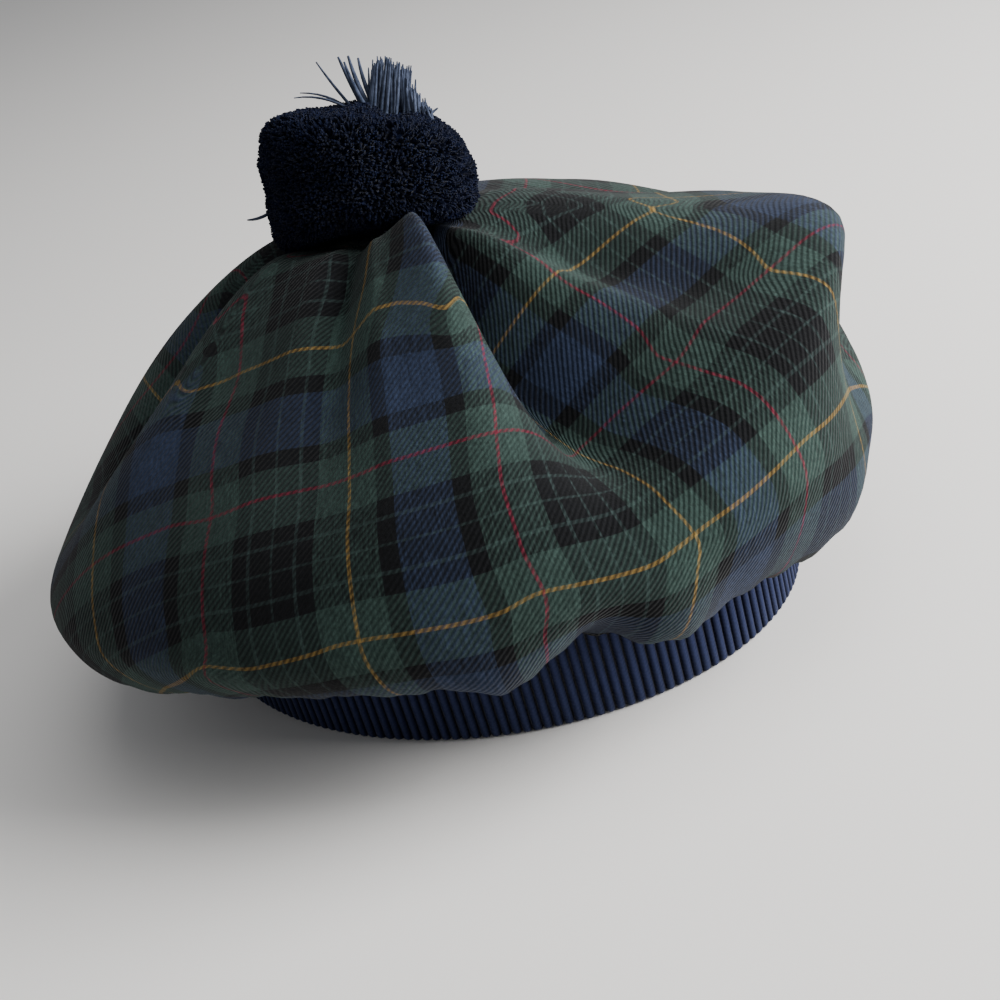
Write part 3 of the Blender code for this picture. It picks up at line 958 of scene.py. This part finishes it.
# Short cut ends, scattered over the core and tilted at random.
def makePompom():
    shape = pompomShape
    values = {
        "Density": float(shape["endsPerSquareMetre"]),
        "End length": shape["endLength"],
        "End radius": shape["endRadius"],
        "End tip": shape["endTip"],
        "Tilt": shape["endTilt"],
        "Seed": shape["seed"],
    }
    tree, identifiers, given = addGroup("yarnEnds", values)
    spread = addNode(tree, "GeometryNodeDistributePointsOnFaces", {
        "Mesh": given["Geometry"], "Density": given["Density"], "Seed": given["Seed"]})
    tilt = addNode(tree, "ShaderNodeCombineXYZ", {
        0: given["Tilt"], 1: given["Tilt"], 2: shape["endSpin"]}).outputs[0]
    tiltBack = addNode(tree, "ShaderNodeVectorMath", {0: tilt, 3: -1.0}, operation="SCALE").outputs[0]
    swing = addNode(tree, "FunctionNodeRandomValue", {0: tiltBack, 1: tilt, "Seed": given["Seed"]},
                    data_type="FLOAT_VECTOR")
    turn = addNode(tree, "FunctionNodeRotateRotation", {
        "Rotation": spread.outputs["Rotation"], "Rotate By": swing.outputs[0]}, rotation_space="LOCAL")
    end = addNode(tree, "GeometryNodeMeshCone", {
        "Vertices": shape["endSides"], "Side Segments": 1, "Radius Bottom": given["End radius"],
        "Radius Top": given["End tip"], "Depth": given["End length"]}, fill_type="NGON")
    longness = addNode(tree, "FunctionNodeRandomValue", {
        2: shape["endShortest"], 3: shape["endLongest"], "Seed": given["Seed"]}, data_type="FLOAT")
    ends = addNode(tree, "GeometryNodeInstanceOnPoints", {
        "Points": spread.outputs["Points"], "Instance": end.outputs["Mesh"], "Rotation": turn.outputs[0],
        "Scale": longness.outputs[1]})
    both = addNode(tree, "GeometryNodeJoinGeometry")
    tree.links.new(given["Geometry"], both.inputs[0])
    tree.links.new(ends.outputs[0], both.inputs[0])
    material = makeWoolYarn("cutWoolYarn", yarnLook["yarn"], yarnLook["shade"], yarnLook["endPly"])
    mesh = runGroup(tree, identifiers, values, both.outputs[0], material, makePompomCore())
    middleHeight = pompomPlace().translation.z
    for vert in mesh.vertices:
        if vert.co.z < middleHeight:
            keepAbove([vert.co], crownShape["gap"])
    return addPiece("pompomYarn", mesh, "pompom", material)


pompomYarn = makePompom()
print("pompom made", len(pompomYarn.data.polygons), "faces")

# Long wool strands that stand out of the pompom. Thin and loose, they are painted greyer than its packed
# ends: the same wool, with painted light for the light that gets through thin strands. Each runs between
# two pixels of the photograph, as far from the camera as the pompom's middle, or nearer by depth.
# Depth and radius are in metres, how far the brush's strands stray in pixels.
strandSettings = {
    "steps": 9,
    "tipShare": 0.40,
    "brushStrands": 170,
    "brushRadius": 0.00052,
    "brushDeep": 0.009,
    "tipBelow": 6,
    "tipAside": 2.5,
    "bendAside": 1.5,
    "bendToTip": 0.65,
    "seed": 5,
}
# foot x, foot y, bend x, bend y, tip x, tip y, depth, radius
looseStrands = (
    (366, 122, 340, 96, 316, 62, 0.004, 0.0005),
    (376, 128, 356, 96, 338, 57, 0.002, 0.0009),
    (384, 130, 360, 98, 348, 56, 0.006, 0.0010),
    (388, 130, 366, 98, 358, 58, 0.004, 0.0009),
    (380, 128, 360, 104, 344, 62, 0.008, 0.0008),
    (366, 120, 330, 92, 294, 98, 0.006, 0.0004),
    (364, 122, 336, 92, 300, 93, 0.003, 0.0004),
    (268, 214, 258, 220, 247, 220, 0.000, 0.0005),
    (398, 116, 408, 100, 410, 92, 0.004, 0.0005),
    (404, 118, 414, 104, 418, 96, -0.003, 0.0005),
    (410, 120, 420, 108, 427, 103, 0.004, 0.0005),
    (420, 124, 432, 112, 438, 108, 0.000, 0.0005),
)
# the broad brush of yarn: foot x, foot y, tip x, tip y, from its left edge to its right edge
brushEdges = (
    (368, 126, 373, 66),
    (374, 128, 379, 58),
    (382, 130, 386, 54),
    (388, 130, 391, 63),
    (396, 128, 398, 60),
    (405, 124, 406, 66),
    (414, 124, 411, 86),
    (424, 126, 421, 94),
    (436, 130, 433, 108),
)


def makeStrands():
    settings = strandSettings
    chance = random.Random(settings["seed"])
    across = (pompomPlace().translation - cameraPlace).dot(-cameraBack)
    rows = list(looseStrands)
    edges = np.array(brushEdges, float)
    toTip = settings["bendToTip"]
    for _ in range(settings["brushStrands"]):
        at = chance.uniform(0, len(edges) - 1)
        footX, footY, tipX, tipY = (np.interp(at, range(len(edges)), edges[:, c]) for c in range(4))
        tipY += abs(chance.gauss(0, settings["tipBelow"]))
        tipX += chance.gauss(0, settings["tipAside"])
        bendX = footX * (1 - toTip) + tipX * toTip + chance.gauss(0, settings["bendAside"])
        bendY = (footY + tipY) / 2
        depth = chance.uniform(-1, 1) * settings["brushDeep"]
        rows.append((footX, footY, bendX, bendY, tipX, tipY, depth, settings["brushRadius"]))
    outline = bpy.data.curves.new("strands", "CURVE")
    outline.dimensions = "3D"
    outline.bevel_depth = 1
    outline.bevel_resolution = 1
    outline.use_fill_caps = True
    for footX, footY, bendX, bendY, tipX, tipY, depth, radius in rows:
        foot, bend, tip = (
            cameraPlace + ray * ((across - depth) / ray.dot(-cameraBack))
            for ray in (pixelRay(footX, footY), pixelRay(bendX, bendY), pixelRay(tipX, tipY))
        )
        spline = outline.splines.new("POLY")
        spline.points.add(settings["steps"] - 1)
        for k, point in enumerate(spline.points):
            u = k / (settings["steps"] - 1)
            place = foot * (1 - u) ** 2 + bend * 2 * u * (1 - u) + tip * u * u
            point.co = (*place, 1)
            point.radius = radius * (1 - (1 - settings["tipShare"]) * u**3)
    mesh = plainMesh(addObject("strands", outline))
    mesh.shade_smooth()
    # painted light: the strands take lighter copies of the pompom's wool colours
    material = makeWoolYarn(
        "longWoolStrands", yarnLook["strand"], yarnLook["strandShade"], yarnLook["strandPly"])
    return addPiece("pompomStrands", mesh, "pompom", material)


pompomStrands = makeStrands()
print("strands made", len(pompomStrands.data.polygons), "faces")

# Floor and light: matt pale paint that shows nothing but the hat's soft shade
studio = {
    "floor": "#efece8",
    "floorRoughness": 0.8,
    "floorSize": 4.0,
    "worldColor": "#e6e9ee",
    "worldStrength": 0.36,
    "aimHeight": 0.08,
}
# name, azimuth, elevation, distance, size, watts
studioLights = (
    ("windowLight", 288, 22, 1.2, 0.9, 45),
    ("skyLight", 300, 72, 1.6, 1.6, 11),
)


def makeStudio():
    slab = bmesh.new()
    bmesh.ops.create_grid(slab, x_segments=1, y_segments=1, size=studio["floorSize"] / 2)
    mesh = meshFrom(slab, "floor")
    floor = addObject("floor", mesh)
    material, _, shader = addMaterial("paleFloor", {"roughness": studio["floorRoughness"]})
    shader.inputs["Base Color"].default_value = hexToLinear(studio["floor"])
    mesh.materials.append(material)
    world = bpy.data.worlds.new("studioAir")
    world.use_nodes = True
    air = world.node_tree.nodes["Background"]
    air.inputs["Color"].default_value = hexToLinear(studio["worldColor"])
    air.inputs["Strength"].default_value = studio["worldStrength"]
    bpy.context.scene.world = world
    for name, azimuth, elevation, distance, size, watts in studioLights:
        a, e = math.radians(azimuth), math.radians(elevation)
        way = Vector((math.cos(a) * math.cos(e), math.sin(a) * math.cos(e), math.sin(e)))
        data = bpy.data.lights.new(name, "AREA")
        data.size = size
        data.energy = watts
        lamp = addObject(name, data)
        lamp.location = Vector((0, 0, studio["aimHeight"])) + way * distance
        lamp.rotation_euler = way.to_track_quat("Z", "Y").to_euler()


makeStudio()
print("studio made")

bpy.context.view_layer.update()
